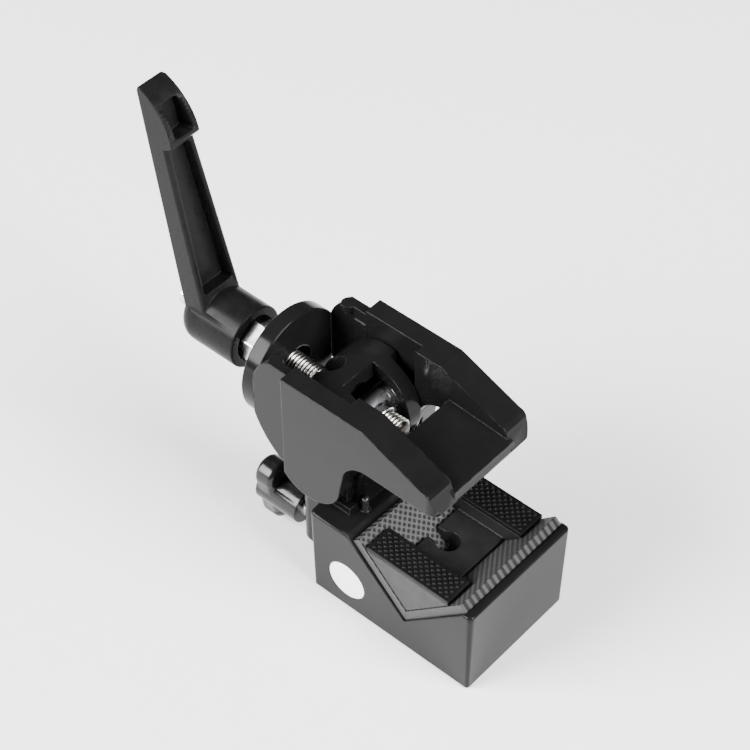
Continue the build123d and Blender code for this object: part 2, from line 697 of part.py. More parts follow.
def star(tip_radius, x_low, x_high):
    """Toothed bar along X."""
    points = []
    for i in range(2 * TOOTH_COUNT):
        radius = tip_radius if i % 2 == 0 else tip_radius - TOOTH_DEPTH
        angle = math.pi * i / TOOTH_COUNT
        points.append((radius * math.cos(angle), radius * math.sin(angle)))
    teeth = extrude(make_face(Polyline(*points, close=True)), amount=x_high - x_low)
    return Pos(x_low, 0, NUT_Z) * Rot(0, 90, 0) * teeth


def lever_insert():
    """Insert fixed on the spindle, its last stretch toothed."""
    teeth_front = INSERT_REAR + LEVER_LIFT
    body = bar_x(teeth_front, HEX_REAR, 0, NUT_Z, INSERT_RADIUS) + star(TOOTH_TIP_RADIUS, INSERT_REAR, teeth_front)
    return body - bar_x(INSERT_REAR - 1, HEX_REAR + 1, 0, NUT_Z, SPINDLE_RADIUS)


def lever_screw():
    """Slotted screw that keeps the lever on the spindle."""
    head = bar_x(SCREW_SEAT - SCREW_HEAD_LENGTH, SCREW_SEAT, 0, NUT_Z, SCREW_HEAD_RADIUS)
    rear = head.faces().sort_by(Axis.X)[0]
    head = chamfer(rear.edges(), SCREW_HEAD_CHAMFER)
    low = SCREW_SEAT - SCREW_HEAD_LENGTH
    slot = block(low - 1, low + SCREW_SLOT_DEPTH, -SCREW_SLOT_WIDTH / 2, SCREW_SLOT_WIDTH / 2, 0, 200)
    return head - slot + bar_x(SCREW_SEAT, INSERT_REAR + SCREW_HOLD, 0, NUT_Z, SCREW_RADIUS)


def screw_washer():
    """Washer under the screw's head, which the spring bears on."""
    return annulus_x(SCREW_SEAT, SPRING_REAR, 0, NUT_Z, SCREW_RADIUS, SCREW_HEAD_RADIUS)


def lever_spring():
    """Sleeve that stands for the lever's coil spring."""
    return annulus_x(SPRING_REAR, WEB_REAR_FACE, 0, NUT_Z, SCREW_RADIUS + 0.4, SCREW_HEAD_RADIUS)


# ---------------------------------------------------------------- lever

def arm_frame():
    """Local frame of the arm: X across its thickness, Z along its length from the hub's axis."""
    return Pos(HUB_REAR + ARM_FROM_HUB_REAR, 0, NUT_Z) * Rot(0, -ARM_LEAN, 0)


def arm_side_outline():
    """Side outline of the arm, with the hook at its end."""
    rear_root = -ARM_ROOT_THICKNESS / 2
    rear_tip = -ARM_TIP_THICKNESS / 2
    front_root = ARM_ROOT_THICKNESS / 2
    front_tip = ARM_TIP_THICKNESS / 2
    hook = ARM_LENGTH - HOOK_LENGTH
    lip = front_tip + HOOK_PROUD
    corner_low = (rear_tip, ARM_LENGTH - TIP_CORNER)
    corner_high = (rear_tip + TIP_CORNER, ARM_LENGTH)
    return Curve() + [
        line_to((rear_root, 0), corner_low),
        arc_to(corner_low, (rear_tip + TIP_CORNER * 0.3, ARM_LENGTH - TIP_CORNER * 0.3), corner_high),
        arc_to(corner_high, (lip - 1.9, hook + 11), (lip, hook + 1)),
        line_to((lip, hook + 1), (lip - 1, hook)),
        line_to((lip - 1, hook), (front_tip, hook - 0.6)),
        line_to((front_tip, hook - 0.6), (front_root, 0)),
        line_to((front_root, 0), (rear_root, 0)),
    ]


def arm_front_outline(inset, z_low, z_high):
    """Front outline of the arm between two heights, narrower by the inset on each side."""
    def half_width(z):
        share = min(1.0, z / (ARM_LENGTH - HOOK_LENGTH / 2))
        return ARM_ROOT_HALF_WIDTH + (ARM_TIP_HALF_WIDTH - ARM_ROOT_HALF_WIDTH) * share - inset

    points = [
        (0, -half_width(z_low), z_low),
        (0, half_width(z_low), z_low),
        (0, half_width(z_high), z_high),
        (0, -half_width(z_high), z_high),
    ]
    return Polyline(*points, close=True)


def front_prism(inset, z_low, z_high, x_low, x_high):
    """Tapered bar through the arm's thickness."""
    face = make_face(arm_front_outline(inset, z_low, z_high))
    return Pos(x_low, 0, 0) * extrude(face, amount=x_high - x_low, dir=(1, 0, 0))


def lever_arm():
    """Arm with its long pocket and the hook's pocket, in its own frame."""
    side = from_edges(arm_side_outline(), -ARM_ROOT_HALF_WIDTH - 1, ARM_ROOT_HALF_WIDTH + 1)
    body = side & front_prism(0, 0, ARM_LENGTH + 1, -20, 20)
    uprights = body.edges().filter_by(lambda e: e.length > 30)
    body = fillet(uprights, 1.0)
    hook = ARM_LENGTH - HOOK_LENGTH
    lip = ARM_TIP_THICKNESS / 2 + HOOK_PROUD
    floor = ARM_ROOT_THICKNESS / 2 - ARM_POCKET_DEPTH
    long_pocket = front_prism(ARM_WALL, ARM_POCKET_START, hook - 2.0, floor, 20)
    long_pocket = fillet(long_pocket.edges().filter_by(Axis.X), 1.2)
    hook_pocket = front_prism(ARM_WALL, hook + 2.4, ARM_LENGTH - 5.5, lip - 6.2, 20)
    hook_pocket = fillet(hook_pocket.edges().filter_by(Axis.X), 1.4)
    return body - long_pocket - hook_pocket


def lever_handle():
    """Hub and arm in one casting, toothed inside."""
    hub = bar_x(HUB_REAR, HUB_FRONT, 0, NUT_Z, HUB_RADIUS)
    rear = hub.faces().sort_by(Axis.X)[0]
    hub = fillet(rear.edges(), HUB_REAR_ROUND)
    front = hub.faces().sort_by(Axis.X)[-1]
    hub = fillet(front.edges(), RIM_EDGE)
    body = hub + arm_frame() * lever_arm()
    teeth_front = INSERT_REAR + LEVER_LIFT
    body = body - bar_x(teeth_front, HUB_FRONT + 1, 0, NUT_Z, HUB_MOUTH_RADIUS)
    body = body - star(TOOTH_TIP_RADIUS + TOOTH_CLEARANCE, INSERT_REAR - RUNNING_CLEARANCE, teeth_front + 1)
    body = body - bar_x(HUB_REAR - 1, HUB_FRONT, 0, NUT_Z, SCREW_RADIUS + SCREW_CLEARANCE)
    return body - bar_x(HUB_REAR - 20, WEB_REAR_FACE, 0, NUT_Z, SPRING_CHAMBER_RADIUS)


# ---------------------------------------------------------------- T-knob

def knob_front():
    """Plane of the knob hub's front end."""
    return BOSS_REAR - KNOB_GAP


def knob_head():
    """Moulded knob with two wings."""
    front = knob_front()
    wing_front = front - KNOB_HUB_LENGTH
    hub = bar_x(wing_front - KNOB_WING_LENGTH, front, 0, 0, KNOB_HUB_RADIUS)
    span = 2 * KNOB_WING_REACH
    wings = extrude(SlotOverall(span, KNOB_WING_WIDTH), amount=KNOB_WING_LENGTH)
    wings = fillet(wings.edges().filter_by(Plane.XY), KNOB_WING_ROUND)
    wings = Pos(wing_front, 0, 0) * Rot(0, -90, 0) * wings
    body = hub + wings
    body = Pos(0, KNOB_OFFSET, KNOB_HEIGHT) * Rot(KNOB_ANGLE, 0, 0) * body
    return body - bar_x(knob_screw_rear(), front + 1, KNOB_OFFSET, KNOB_HEIGHT, KNOB_SCREW_RADIUS)


def knob_screw_rear():
    """Where the screw ends inside the knob."""
    return knob_front() - KNOB_HUB_LENGTH - KNOB_WING_LENGTH * KNOB_SCREW_HOLD


def shoe_tip():
    """Plane of the pressure shoe's face, just back from the socket's flat."""
    return SOCKET_X - SOCKET_FLATS / 2 - SHOE_SETBACK


def knob_screw():
    """Threaded stud of the knob."""
    return bar_x(knob_screw_rear(), shoe_tip() - SHOE_LENGTH, KNOB_OFFSET, KNOB_HEIGHT, KNOB_SCREW_RADIUS)


def pressure_shoe():
    """Brass shoe that the screw presses against the stud."""
    low = shoe_tip() - SHOE_LENGTH + RUNNING_CLEARANCE
    return bar_x(low, shoe_tip(), KNOB_OFFSET, KNOB_HEIGHT, SHOE_RADIUS)


# ---------------------------------------------------------------- wedge

def wedge_top():
    """Height of the wedge's gripping faces."""
    return BLOCK_HEIGHT - WEDGE_TOP_BELOW_BLOCK


def wedge_apex():
    """Height of the wedge's lower edge, clear of the pads."""
    return APEX_Z + (PAD_THICKNESS + WEDGE_GAP) * ROOT_TWO


def wedge_prism(top, y_low, y_high):
    """Three-sided bar that fills the padded groove up to a height."""
    apex = wedge_apex()
    half = top - apex
    return prism_y([(APEX_X - half, top), (APEX_X, apex), (APEX_X + half, top)], y_low, y_high)


def wedge_body():
    """Two side rails joined by a low web with a keyhole."""
    outer = BLOCK_WIDTH / 2 - WEDGE_SIDE_INSET
    inner = outer - RAIL_WIDTH
    rail_top = wedge_top() - STRIP_THICKNESS
    body = wedge_prism(rail_top, -outer, -inner) + wedge_prism(rail_top, inner, outer)
    web_top = BLOCK_HEIGHT - WEB_TOP_BELOW_BLOCK
    web = wedge_prism(web_top, -inner, inner)
    web = web & block(APEX_X - WEB_REAR, APEX_X + WEB_FRONT, -inner, inner, 0, 100)
    body = body + web
    hole_x = APEX_X - KEYHOLE_BEHIND_APEX
    body = body - bar_z(hole_x, 0, 0, 100, KEYHOLE_RADIUS)
    return body - block(hole_x - 40, hole_x, -KEYHOLE_SLOT / 2, KEYHOLE_SLOT / 2, 0, 100)


def grip_strip(side):
    """Rubber strip on one rail of the wedge."""
    outer = BLOCK_WIDTH / 2 - WEDGE_SIDE_INSET
    top = wedge_top()
    half = top - STRIP_THICKNESS - wedge_apex()
    low = outer - RAIL_WIDTH
    y_low, y_high = (low, outer) if side > 0 else (-outer, -low)
    return block(APEX_X - half, APEX_X + half, y_low, y_high, top - STRIP_THICKNESS, top)


NODES = {
    "lower_jaw_casting": lower_jaw_casting,
    "rear_groove_pad": lambda: groove_pad(False),
    "front_groove_pad": lambda: groove_pad(True),
    "side_badge": side_badge,
    "hinge_pin": hinge_pin,
    "hinge_bushes": hinge_bushes,
    "hinge_shims": hinge_shims,
    "stud_lock_pin": stud_lock_pin,
    "lock_bush": lock_bush,
    "lock_spring": lock_spring,
    "upper_jaw_casting": upper_jaw_casting,
    "upper_jaw_pad": upper_jaw_pad,
    "trunnion_nut": trunnion_nut,
    "spindle": spindle,
    "thrust_washer": thrust_washer,
    "hex_collar": hex_collar,
    "lever_insert": lever_insert,
    "lever_screw": lever_screw,
    "screw_washer": screw_washer,
    "lever_spring": lever_spring,
    "lever_handle": lever_handle,
    "knob_head": knob_head,
    "knob_screw": knob_screw,
    "pressure_shoe": pressure_shoe,
    "wedge_body": wedge_body,
    "left_grip_strip": lambda: grip_strip(-1),
    "right_grip_strip": lambda: grip_strip(1),
}


def write(name, shape):
    """Write one node's solids to a STEP file."""
    solids = []
    for piece in shape if isinstance(shape, list) else [shape]:
        solids.extend(piece.solids())
    export_step(Compound(children=solids), os.path.join("parts", name + ".step"))


os.makedirs("parts", exist_ok=True)
for node_name, make in NODES.items():
    write(node_name, make())
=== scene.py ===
"""Looks of the super clamp: its painted castings, steel spindle, rubber pads and studio."""

import json
import logging
import math
from dataclasses import dataclass
from enum import Enum

import bmesh
import bpy
from mathutils import Matrix, Vector

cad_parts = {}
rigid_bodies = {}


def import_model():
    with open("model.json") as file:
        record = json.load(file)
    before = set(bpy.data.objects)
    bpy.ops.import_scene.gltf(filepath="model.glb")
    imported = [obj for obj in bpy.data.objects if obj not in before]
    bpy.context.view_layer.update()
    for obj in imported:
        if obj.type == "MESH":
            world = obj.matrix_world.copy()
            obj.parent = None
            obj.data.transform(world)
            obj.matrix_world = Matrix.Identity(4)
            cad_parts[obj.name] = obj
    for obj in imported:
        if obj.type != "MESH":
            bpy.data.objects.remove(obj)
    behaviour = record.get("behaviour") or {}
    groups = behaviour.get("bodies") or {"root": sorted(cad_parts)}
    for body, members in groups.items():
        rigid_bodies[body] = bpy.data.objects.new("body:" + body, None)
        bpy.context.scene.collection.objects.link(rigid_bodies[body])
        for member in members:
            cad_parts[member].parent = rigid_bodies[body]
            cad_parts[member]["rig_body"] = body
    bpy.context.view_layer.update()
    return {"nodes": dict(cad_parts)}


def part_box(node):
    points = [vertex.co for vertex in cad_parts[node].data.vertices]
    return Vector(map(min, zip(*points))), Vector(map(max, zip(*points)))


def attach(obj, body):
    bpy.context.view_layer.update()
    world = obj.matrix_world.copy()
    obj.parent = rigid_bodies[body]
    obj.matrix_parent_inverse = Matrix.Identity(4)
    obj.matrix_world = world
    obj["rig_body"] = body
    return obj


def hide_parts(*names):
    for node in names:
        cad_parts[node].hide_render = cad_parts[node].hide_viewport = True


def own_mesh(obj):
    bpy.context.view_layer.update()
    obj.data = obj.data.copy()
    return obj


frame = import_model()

LOG = logging.getLogger("super_clamp")
MM = 0.001
WELD = 0.002 * MM
FLAT_BEND = math.radians(0.3)
FACE_WEIGHT = 90
RECIPE_WELD = 0.001 * MM
RECIPE_SLIVER = 0.0005 * MM


def middle_of(node: str) -> Vector:
    """The middle of a node's CAD box."""
    low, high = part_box(node)
    return (Vector(low) + Vector(high)) / 2


def nut_axis_x() -> float:
    """Where the barrel nut's axis crosses, one barrel radius in front of its rearmost point."""
    low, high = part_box("trunnion_nut")
    return low.x + (high.z - low.z) / 2


SPINDLE_AXIS_Z = middle_of("spindle").z
KNOB_AXIS = middle_of("knob_screw")
GROOVE_TURN = math.radians(45)


class Grain(Enum):
    """How a finish's surface is textured: the shader group that makes it."""

    SKIN = "grain"
    TURNED = "rings"


class Fade(Enum):
    """Which way a finish is painted darker, as painted shade."""

    NONE = "none"
    INTO_GROOVES = "into grooves"
    BEHIND_FACE = "behind face"


# ---------------------------------------------------------------- shader groups


class NodeSheet:
    """A node tree being filled in: short ways to add nodes and join them."""

    def __init__(self, tree: bpy.types.NodeTree) -> None:
        """Starts on a tree.

        Args:
            tree: the material's or group's node tree.
        """
        self.tree = tree

    def add(self, kind: str, **settings: object) -> bpy.types.Node:
        """Adds a node.

        Args:
            kind: the node's class name.
            settings: properties to set on it.

        Returns:
            The new node.
        """
        node = self.tree.nodes.new(kind)
        for name, value in settings.items():
            setattr(node, name, value)
        return node

    def join(self, out: bpy.types.NodeSocket, into: bpy.types.NodeSocket) -> None:
        """Links an output to an input."""
        self.tree.links.new(out, into)

    def feed(self, value: object, socket: bpy.types.NodeSocket) -> None:
        """Joins a socket to an input, or sets the input to a number."""
        if isinstance(value, bpy.types.NodeSocket):
            self.join(value, socket)
        else:
            socket.default_value = value

    def split(self, vector: bpy.types.NodeSocket) -> bpy.types.bpy_prop_collection:
        """The X, Y and Z sockets of a vector."""
        parts = self.add("ShaderNodeSeparateXYZ")
        self.join(vector, parts.inputs[0])
        return parts.outputs

    def vector(self, x: object = 0.0, y: object = 0.0, z: object = 0.0) -> bpy.types.NodeSocket:
        """A vector made of three sockets or numbers."""
        node = self.add("ShaderNodeCombineXYZ")
        for socket, value in zip(node.inputs, (x, y, z)):
            self.feed(value, socket)
        return node.outputs[0]

    def distance(self, first: bpy.types.NodeSocket, second: bpy.types.NodeSocket) -> bpy.types.NodeSocket:
        """The length of two offsets at right angles."""
        squares = [self.maths("MULTIPLY", offset, offset) for offset in (first, second)]
        return self.maths("SQRT", self.maths("ADD", *squares))

    def clamp(self, value: bpy.types.NodeSocket) -> bpy.types.NodeSocket:
        """A value held between 0 and 1."""
        return self.maths("MINIMUM", self.maths("MAXIMUM", value, 0.0), 1.0)

    def maths(self, operation: str, first: object, second: object = 0.0) -> bpy.types.NodeSocket:
        """Adds a Math node.

        Args:
            operation: its operation.
            first: a socket or number.
            second: a socket or number.

        Returns:
            Its output socket.
        """
        node = self.add("ShaderNodeMath", operation=operation)
        for socket, value in zip(node.inputs, (first, second)):
            self.feed(value, socket)
        return node.outputs[0]

    def ramp(self, value: bpy.types.NodeSocket, low: float, high: float, out_low: float,
             out_high: float) -> bpy.types.NodeSocket:
        """Maps a range of values to another, with smooth ends.

        Args:
            value: the socket to map.
            low: where the range starts.
            high: where the range ends.
            out_low: result at low.
            out_high: result at high.

        Returns:
            The mapped socket.
        """
        node = self.add("ShaderNodeMapRange", interpolation_type="SMOOTHSTEP")
        self.join(value, node.inputs["Value"])
        limits = {"From Min": low, "From Max": high, "To Min": out_low, "To Max": out_high}
        for name, number in limits.items():
            node.inputs[name].default_value = number
        return node.outputs["Result"]

    def noise(self, vector: bpy.types.NodeSocket, scale: object, detail: float = 3.0) -> bpy.types.NodeSocket:
        """Adds a noise texture.

        Args:
            vector: where it is read.
            scale: a socket or number, per metre.
            detail: its octaves.

        Returns:
            Its value socket.
        """
        node = self.add("ShaderNodeTexNoise")
        self.join(vector, node.inputs["Vector"])
        self.feed(scale, node.inputs["Scale"])
        node.inputs["Detail"].default_value = detail
        return node.outputs["Fac"]


BEVEL_SAMPLES = 6
# edge wear that is partly a painted highlight: its reach, the bends it picks out, its patches and their
# detail
WEAR_AND_HIGHLIGHT_RADIUS = 0.55 * MM
WEAR_AND_HIGHLIGHT_BEND = (0.82, 0.995)
WEAR_AND_HIGHLIGHT_SPOTS = (0.46, 0.66)
WEAR_AND_HIGHLIGHT_DETAIL = 4.0
FINE_SHARE = 0.35
FINE_DETAIL = 2.0
RING_SCALE = 5200.0
BROAD_SCALE = 240.0
CELLS_AHEAD = 100.0
DOT_EDGE = (0.7, 1.1)


def new_group(name: str, inputs: dict[str, tuple[str, float]], outputs: dict[str, str]) -> tuple[
        bpy.types.NodeTree, NodeSheet, bpy.types.Node, bpy.types.Node]:
    """Starts a shader node group with named sockets.

    Args:
        name: the group's name.
        inputs: socket name to (socket type, default).
        outputs: socket name to socket type.

    Returns:
        The tree, its sheet, and its input and output nodes.
    """
    tree = bpy.data.node_groups.new(name, "ShaderNodeTree")
    for label, (kind, default) in inputs.items():
        socket = tree.interface.new_socket(label, in_out="INPUT", socket_type=kind)
        if kind == "NodeSocketFloat":
            socket.default_value = default
    for label, kind in outputs.items():
        tree.interface.new_socket(label, in_out="OUTPUT", socket_type=kind)
    sheet = NodeSheet(tree)
    return tree, sheet, sheet.add("NodeGroupInput"), sheet.add("NodeGroupOutput")


def edge_wear_group() -> bpy.types.NodeTree:
    """Edges that are rubbed a little and painted lighter as a painted highlight, broken up by noise.

    Returns:
        A group with Place, Break Up and Amount in, and Mask out.
    """
    tree, s, given, out = new_group(
        "EdgeWear", {"Place": ("NodeSocketVector", 0), "Break Up": ("NodeSocketFloat", 300.0),
                     "Amount": ("NodeSocketFloat", 0.5)}, {"Mask": "NodeSocketFloat"})
    bevel = s.add("ShaderNodeBevel", samples=BEVEL_SAMPLES)
    bevel.inputs["Radius"].default_value = WEAR_AND_HIGHLIGHT_RADIUS
    true = s.add("ShaderNodeNewGeometry")
    dot = s.add("ShaderNodeVectorMath", operation="DOT_PRODUCT")
    s.join(bevel.outputs[0], dot.inputs[0])
    s.join(true.outputs["Normal"], dot.inputs[1])
    edge = s.ramp(dot.outputs["Value"], *WEAR_AND_HIGHLIGHT_BEND, 1.0, 0.0)
    patches = s.noise(given.outputs["Place"], given.outputs["Break Up"], WEAR_AND_HIGHLIGHT_DETAIL)
    spots = s.ramp(patches, *WEAR_AND_HIGHLIGHT_SPOTS, 0.0, 1.0)
    s.join(s.maths("MULTIPLY", s.maths("MULTIPLY", edge, spots), given.outputs["Amount"]), out.inputs["Mask"])
    return tree


def surface_grain_group() -> bpy.types.NodeTree:
    """A fine skin with a slower waviness under it, as on sprayed castings and moulded plastic.

    Returns:
        A group with Place, Fine and Slow scales in, and Height and Unevenness out.
    """
    tree, s, given, out = new_group(
        "SurfaceGrain", {"Place": ("NodeSocketVector", 0), "Fine": ("NodeSocketFloat", 1800.0),
                         "Slow": ("NodeSocketFloat", 160.0)},
        {"Height": "NodeSocketFloat", "Unevenness": "NodeSocketFloat"})
    fine = s.noise(given.outputs["Place"], given.outputs["Fine"], FINE_DETAIL)
    slow = s.noise(given.outputs["Place"], given.outputs["Slow"])
    s.join(s.maths("ADD", s.maths("MULTIPLY", fine, FINE_SHARE), slow), out.inputs["Height"])
    s.join(slow, out.inputs["Unevenness"])
    return tree


def turned_rings_group() -> bpy.types.NodeTree:
    """Fine rings about the X direction, as a lathe leaves them.

    Returns:
        A group with Place (centred on the axis) in, and Height and Unevenness out.
    """
    tree, s, given, out = new_group("TurnedRings", {"Place": ("NodeSocketVector", 0)},
                                    {"Height": "NodeSocketFloat", "Unevenness": "NodeSocketFloat"})
    parts = s.split(given.outputs["Place"])
    rings = s.noise(s.vector(parts["X"], s.distance(parts["Y"], parts["Z"])), RING_SCALE)
    broad = s.noise(given.outputs["Place"], BROAD_SCALE)
    s.join(rings, out.inputs["Height"])
    s.join(s.maths("ADD", s.maths("MULTIPLY", rings, 0.5), s.maths("MULTIPLY", broad, 0.5)),
           out.inputs["Unevenness"])
    return tree


def dot_rows_group() -> bpy.types.NodeTree:
    """Round dots in staggered rows over the X and Y of Place.

    Returns:
        A group with Place, Pitch and Dot (radius) in, and Mask out.
    """
    tree, s, given, out = new_group(
        "DotRows", {"Place": ("NodeSocketVector", 0), "Pitch": ("NodeSocketFloat", 2.4 * MM),
                    "Dot": ("NodeSocketFloat", 0.6 * MM)}, {"Mask": "NodeSocketFloat"})
    parts = s.split(given.outputs["Place"])
    pitch = given.outputs["Pitch"]
    from_centres = []
    for shift in (0.0, 0.5):
        offsets = []
        for axis in ("X", "Y"):
            cell = s.maths("ADD", s.maths("DIVIDE", parts[axis], pitch), shift + CELLS_AHEAD)
            offsets.append(s.maths("MULTIPLY", s.maths("SUBTRACT", s.maths("FRACT", cell), 0.5), pitch))
        from_centres.append(s.distance(*offsets))
    share = s.maths("DIVIDE", s.maths("MINIMUM", *from_centres), given.outputs["Dot"])
    s.join(s.ramp(share, *DOT_EDGE, 1.0, 0.0), out.inputs["Mask"])
    return tree


GROUPS: dict[str, bpy.types.NodeTree] = {
    "wear": edge_wear_group(),
    "grain": surface_grain_group(),
    "rings": turned_rings_group(),
    "dots": dot_rows_group(),
}


# ---------------------------------------------------------------- finishes


Colour = tuple[float, float, float]
COAT_ROUGHNESS = 0.08
UNEVEN_RANGE = (0.3, 0.7)
ROUND_OVER = 0.6 * MM
BROAD_FACE = 0.5
MIX_SHARE, MIX_UNDER, MIX_OVER, MIX_RESULT = 0, 6, 7, 2


@dataclass(frozen=True)
class Finish:
    """A surface finish: colour, gloss, skin, and edge wear that is partly a painted highlight."""

    name: str
    slot: str
    colour: Colour
    second: Colour
    roughness: float
    rough_spread: float = 0.1
    metallic: float = 0.0
    coat: float = 0.0
    grain: Grain = Grain.SKIN
    fine: float = 1800.0
    slow: float = 160.0
    bump: float = 0.05 * MM
    # how strongly edges are painted lighter, as wear and as painted highlight, and in what colour
    wear: float = 0.0
    wear_colour: Colour = (0.35, 0.34, 0.33)
    dots: tuple[float, float] | None = None
    # painted shade: the colour the dimples are painted
    dot_colour: Colour = (0.01, 0.01, 0.01)
    dot_depth: float = 0.0
    centre: tuple[float, float, float] = (0.0, 0.0, 0.0)
    turn: tuple[float, float, float] = (0.0, 0.0, 0.0)
    specular: float = 0.5
    # painted shade: which way, over what range and in what colour a finish is painted darker
    fade: Fade = Fade.NONE
    fade_range: tuple[float, float] = (0.0, 1.0)
    fade_colour: Colour = (0.02, 0.02, 0.02)

    def build(self) -> bpy.types.Material:
        """Makes the material.

        Returns:
            The finished material.
        """
        material = bpy.data.materials.new(self.name)
        material.use_nodes = True
        material.node_tree.nodes.clear()
        s = NodeSheet(material.node_tree)
        shader = s.add("ShaderNodeBsdfPrincipled")
        s.join(shader.outputs[0], s.add("ShaderNodeOutputMaterial").inputs["Surface"])
        shader.inputs["Metallic"].default_value = self.metallic
        shader.inputs["Specular IOR Level"].default_value = self.specular
        shader.inputs["Coat Weight"].default_value = self.coat
        shader.inputs["Coat Roughness"].default_value = COAT_ROUGHNESS
        place = self._place(s)
        height, uneven = self._skin(s, place)
        colour = self._mix(s, uneven, self.colour, self.second)
        glossiest, dullest = self.roughness - self.rough_spread, self.roughness + self.rough_spread
        rough = s.ramp(uneven, *UNEVEN_RANGE, glossiest, dullest)
        if self.dots:
            mask = self._dots(s, place)
            # painted shade: the dimples are painted darker than the rubber around them, on top of their dip
            # in the bump
            colour = self._mix_into(s, mask, colour, self.dot_colour)
            height = s.maths("ADD", height, s.maths("MULTIPLY", mask, self.dot_depth))
        # painted shade: darker into a thread's grooves or behind a nut's front face
        if self.fade is not Fade.NONE:
            colour = self._mix_into(s, self._depth(s, place), colour, self.fade_colour)
        # edges painted lighter: partly rubbed wear, partly a painted highlight
        if self.wear:
            wear_and_highlight_node = s.add("ShaderNodeGroup", node_tree=GROUPS["wear"])
            s.join(place, wear_and_highlight_node.inputs["Place"])
            wear_and_highlight_node.inputs["Amount"].default_value = self.wear
            colour = self._mix_into(s, wear_and_highlight_node.outputs["Mask"], colour, self.wear_colour)
        s.join(colour, shader.inputs["Base Color"])
        s.join(rough, shader.inputs["Roughness"])
        bump = s.add("ShaderNodeBump")
        bump.inputs["Distance"].default_value = self.bump
        s.join(height, bump.inputs["Height"])
        bevel = s.add("ShaderNodeBevel", samples=BEVEL_SAMPLES)
        bevel.inputs["Radius"].default_value = ROUND_OVER
        s.join(bevel.outputs[0], bump.inputs["Normal"])
        s.join(bump.outputs[0], shader.inputs["Normal"])
        return material

    def _place(self, s: NodeSheet) -> bpy.types.NodeSocket:
        """Object coordinates, centred and turned for this finish."""
        where = s.add("ShaderNodeTexCoord")
        mapping = s.add("ShaderNodeMapping", vector_type="TEXTURE")
        mapping.inputs["Location"].default_value = self.centre
        mapping.inputs["Rotation"].default_value = self.turn
        s.join(where.outputs["Object"], mapping.inputs["Vector"])
        return mapping.outputs[0]

    def _skin(self, s: NodeSheet, place: bpy.types.NodeSocket) -> tuple[bpy.types.NodeSocket,
                                                                       bpy.types.NodeSocket]:
        """The height and unevenness of the surface's own texture.

        Args:
            s: the material's sheet.
            place: where it is read.

        Returns:
            The height and the unevenness.
        """
        node = s.add("ShaderNodeGroup", node_tree=GROUPS[self.grain.value])
        s.join(place, node.inputs["Place"])
        if self.grain is Grain.SKIN:
            node.inputs["Fine"].default_value = self.fine
            node.inputs["Slow"].default_value = self.slow
        return node.outputs["Height"], node.outputs["Unevenness"]

    def _depth(self, s: NodeSheet, place: bpy.types.NodeSocket) -> bpy.types.NodeSocket:
        """How far this finish is painted dark, as painted shade.

        Args:
            s: the material's sheet.
            place: where it is read, centred on the piece's axis.

        Returns:
            1 where it is painted dark and 0 where it is bright.
        """
        parts = s.split(place)
        measure = parts["X"]
        if self.fade is Fade.INTO_GROOVES:
            measure = s.distance(parts["Y"], parts["Z"])
        return s.ramp(measure, *self.fade_range, 1.0, 0.0)

    def _dots(self, s: NodeSheet, place: bpy.types.NodeSocket) -> bpy.types.NodeSocket:
        """The mask of this finish's dots, left off the piece's ends."""
        node = s.add("ShaderNodeGroup", node_tree=GROUPS["dots"])
        s.join(place, node.inputs["Place"])
        node.inputs["Pitch"].default_value, node.inputs["Dot"].default_value = self.dots
        facing = s.split(s.add("ShaderNodeTexCoord").outputs["Normal"])
        broad = s.maths("LESS_THAN", s.maths("ABSOLUTE", facing["Y"]), BROAD_FACE)
        return s.maths("MULTIPLY", node.outputs["Mask"], broad)

    @staticmethod
    def _mix(s: NodeSheet, share: bpy.types.NodeSocket, low: Colour,
             high: Colour) -> bpy.types.NodeSocket:
        """A blend of two colours.

        Args:
            s: the material's sheet.
            share: 0 for low and 1 for high.
            low: the first colour.
            high: the second colour.

        Returns:
            The blended colour.
        """
        mix = s.add("ShaderNodeMix", data_type="RGBA")
        s.join(share, mix.inputs[MIX_SHARE])
        mix.inputs[MIX_UNDER].default_value = (*low, 1.0)
        mix.inputs[MIX_OVER].default_value = (*high, 1.0)
        return mix.outputs[MIX_RESULT]

    @staticmethod
    def _mix_into(s: NodeSheet, share: bpy.types.NodeSocket, under: bpy.types.NodeSocket,
                  over: Colour) -> bpy.types.NodeSocket:
        """A colour laid over another where a mask says.

        Args:
            s: the material's sheet.
            share: the mask.
            under: the colour below.
            over: the colour on top.

        Returns:
            The result.
        """
        mix = s.add("ShaderNodeMix", data_type="RGBA")
        s.join(share, mix.inputs[MIX_SHARE])
        s.join(under, mix.inputs[MIX_UNDER])
        mix.inputs[MIX_OVER].default_value = (*over, 1.0)
        return mix.outputs[MIX_RESULT]


